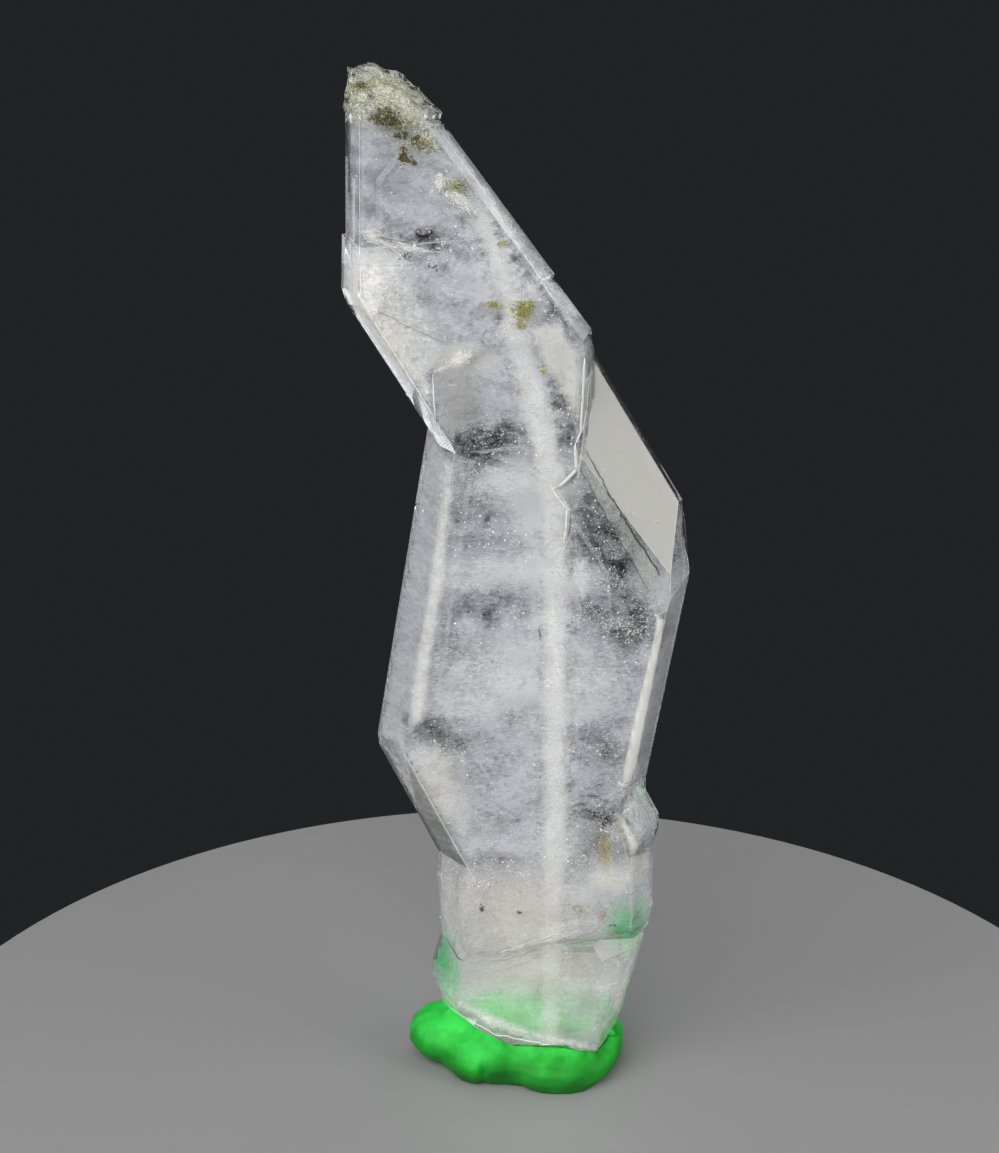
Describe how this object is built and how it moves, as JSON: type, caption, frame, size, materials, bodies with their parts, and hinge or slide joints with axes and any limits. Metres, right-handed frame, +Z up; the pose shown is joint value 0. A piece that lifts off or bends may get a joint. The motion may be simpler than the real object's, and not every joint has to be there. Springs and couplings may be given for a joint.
{
  "type": "faden quartz crystal",
  "caption": "Flat, clear to milky quartz crystal with a white thread through its length, standing upright in a pinched lump of green putty.",
  "frame": {"origin": "on the surface that the putty stands on, under the middle of the whole object's box, to within about 0.2 mm", "axes": "+Z up along the crystal, +X to the right as seen from the broad front face, -Y out of the broad front face towards the viewer"},
  "size_m": [0.0226, 0.01, 0.0693],
  "materials": {
    "quartz": "clear to milky quartz with glassy natural faces, white veils, a white thread and a few specks of green and brown mineral",
    "thread": "milky white quartz, a dense bundle of tiny bubbles and fine fibres with soft edges, sealed in the clear crystal",
    "putty": "soft bright green putty with a dull, slightly waxy surface, pinched by fingers"
  },
  "bodies": {
    "root": {"faden_quartz_crystal": "quartz", "faden_thread": "thread", "green_putty": "putty"}
  },
  "joints": []
}
